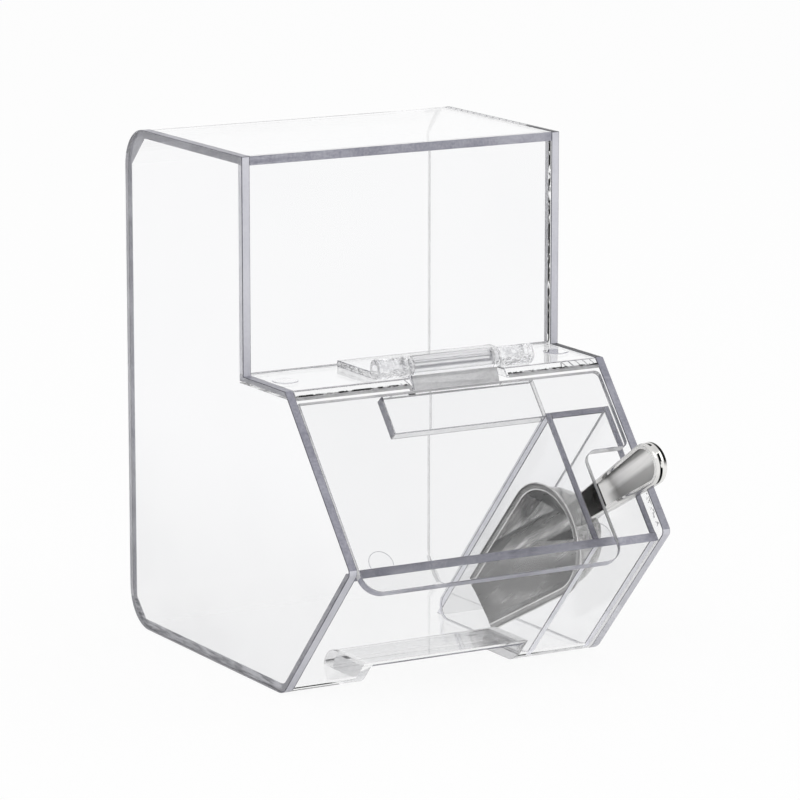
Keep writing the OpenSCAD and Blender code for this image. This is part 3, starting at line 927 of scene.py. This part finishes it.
def handle_tone(own, strokes, smoke):
    """Bright, with painted black reflections where the tip turns away and painted dark lines along the upper
    side and just below the top.
    """
    x, y, z = [own.part(axis) for axis in range(3)]
    side = off_line(x, y)
    tip = x.step(*TIP)
    blots = noise(own, BLOT_SCALE, 2.0).step(0.47, 0.52)
    outline = (1 - z.step(-0.0041, -0.0036)) * x.step(0.13, 0.148) * side.step(-0.005, -0.002)
    marks = z.step(-0.003, -0.0026) * (1 - z.step(-0.0016, -0.0012)) * tip * blots
    rim = z.step(-0.0016, -0.0012) * (1 - z.step(-0.0009, -0.0006)) * side.step(0.0, 0.002) * (1 - tip)
    black = outline.larger(marks).larger(rim * 0.7)
    return (1 - black) * (smoke.step(0.3, 0.7) * 0.35 + 0.5)


handle_finishes = [
    metal("handle polish", 0.04, handle_tone),
    metal("handle dish", 0.3, dish_tone),
    # Painted reflection: the neck is painted near black for the shadow under the lid that it would mirror.
    metal("handle shank", 0.3, plain(0.0, 0.012), metallic=0.0, specular=0.05),
    metal("handle side", 0.08, plain(0.15, 0.6)),
]
POLISH, DISH, SHANK, FLANK = range(len(handle_finishes))
print("handle finishes:", [made.name for made in handle_finishes])

# %% Handle
HANDLE_T, HANDLE_ROUND, HANDLE_CORNER = 0.006, 0.0014, 50
NECK_START, NECK_END, NECK_HALF, NECK_LOW = 0.0185, 0.032, 0.0045, -0.0014
HANDLE_FREE, FLANK_END = 0.0135, 0.06
DISH_LOW, DISH_HIGH = -0.0052, -0.0008
ON_FACE, MID_BAND = 0.0002, 0.0012


def is_flank(face):
    mid = abs(face.calc_center_median().z + HANDLE_T / 2) < MID_BAND
    return mid and abs(face.normal.z) < LEANING and face.calc_area() > 0


def is_outer(edge):
    """An edge of the top or the underside, along the handle's own flank and clear of the bowl."""
    on_face = all(min(abs(v.co.z), abs(v.co.z + HANDLE_T)) < ON_FACE for v in edge.verts)
    clear = all(v.co.x > HANDLE_FREE for v in edge.verts)
    return on_face and clear and any(is_flank(face) for face in edge.link_faces)


def handle_rule(n, c):
    flat = abs(n.z) > SQUARE
    if NECK_START < c.x < NECK_END and c.z > NECK_LOW and (flat or abs(c.y) < NECK_HALF):
        return SHANK
    if flat and DISH_LOW < c.z < DISH_HIGH:
        return DISH
    return FLANK if c.x < NECK_START or abs(n.z) < LEANING and c.x < FLANK_END else POLISH


straight = Matrix.Rotation(HANDLE_SET, 4, "Z") @ Matrix.Translation((-NECK, 0, 0)) @ stored.inverted()
bar = loose_copy("scoop_handle")
bmesh.ops.transform(bar, matrix=straight, verts=bar.verts)
for cut in (NECK_START, NECK_END):
    slice_at(bar, X * cut, X)
outer = [edge for edge in sharp_edges(bar, HANDLE_CORNER) if is_outer(edge)]
bevel(bar, outer, HANDLE_ROUND, 4)
bar.normal_update()
for face in bar.faces:
    face.material_index = handle_rule(face.normal, face.calc_center_median())
bmesh.ops.transform(bar, matrix=straight.inverted(), verts=bar.verts)
keep(bar, "scoop_handle_polished", "scoop", handle_finishes, "scoop_metal", "scoop_handle")

# %% [markdown]
# ## The studio
# A white sweep and soft light from all round suit clear plastic. The background could be lit until it is
# white, but that would wash out the bin. Instead it is white only to the eye, to reflections and through
# clear pieces, while the light that falls on the bin stays at a plain level. Clear sheets in a row need many
# bounces.

# %% White room
ROOM_LIGHT = 0.72
WHITE = (1, 1, 1, 1)

scene = bpy.context.scene
scene.view_settings.view_transform = "Standard"
scene.cycles.transparent_max_bounces = 64
scene.cycles.max_bounces = 40
scene.cycles.transmission_bounces = 40
scene.cycles.glossy_bounces = 12


def in_sight(tree):
    """1 for rays from the eye, off a gloss or through a clear piece, and 0 for light on the bin."""
    path = tree.nodes.new("ShaderNodeLightPath")
    rays = [Value(tree, path.outputs[f"Is {kind} Ray"]) for kind in ("Camera", "Glossy", "Transmission")]
    return rays[0].larger(rays[1]).larger(rays[2])


room = bpy.data.worlds.new("white room")
scene.world = room
room.use_nodes = True
room.node_tree.nodes.clear()
seen = in_sight(room.node_tree)
lit = seen.node("ShaderNodeBackground", None, Color=WHITE, Strength=ROOM_LIGHT)
white = seen.node("ShaderNodeBackground", None, Color=WHITE, Strength=1.0)
both = seen.node("ShaderNodeMixShader", None, Fac=seen, i1=lit, i2=white)
room.node_tree.links.new(both.socket, room.node_tree.nodes.new("ShaderNodeOutputWorld").inputs["Surface"])
print("white room at", ROOM_LIGHT)

# %% Paper sweep
SWEEP_SIZE, SWEEP_DROP = 4.0, 0.0004
PAPER_WHITE, PAPER_GLOW = 0.93, 0.93

sheet = bmesh.new()
bmesh.ops.create_grid(sheet, x_segments=1, y_segments=1, size=SWEEP_SIZE)
sweep_mesh = bpy.data.meshes.new("sweep")
sheet.to_mesh(sweep_mesh)
sheet.free()
sweep = bpy.data.objects.new("sweep", sweep_mesh)
scene.collection.objects.link(sweep)
sweep.location.z = -SWEEP_DROP

paper_colour = (PAPER_WHITE, PAPER_WHITE, PAPER_WHITE, 1)
paper, shader, _ = finish_of("white paper", Base_Color=paper_colour, Roughness=0.9, Specular_IOR_Level=0.1)
tree = paper.node_tree
seen = in_sight(tree)
glow = seen.node("ShaderNodeEmission", None, Color=WHITE, Strength=1.0)
# A little of the paper's own shading stays in sight, so that the floor keeps the bin's shadow.
shaded = Value(tree, shader.outputs["BSDF"])
soft = seen.node("ShaderNodeMixShader", None, Fac=seen * PAPER_GLOW, i1=shaded, i2=glow)
tree.links.new(soft.socket, tree.nodes["Material Output"].inputs["Surface"])
sweep_mesh.materials.append(paper)
print("sweep of", 2 * SWEEP_SIZE, "m")

# %% Lamps
AIM = Vector((0, 0, 0.12))


def softbox(name, place, size, power):
    lamp = bpy.data.objects.new(name, bpy.data.lights.new(name, "AREA"))
    lamp.data.size = size
    lamp.data.energy = power
    lamp.location = place
    lamp.rotation_euler = (AIM - Vector(place)).to_track_quat("-Z", "Y").to_euler()
    scene.collection.objects.link(lamp)
    print(name, "lamp of", power, "W")


softbox("key", (-1.2, -1.4, 1.9), 1.2, 16)
softbox("fill", (1.6, -0.8, 1.2), 1.4, 7)
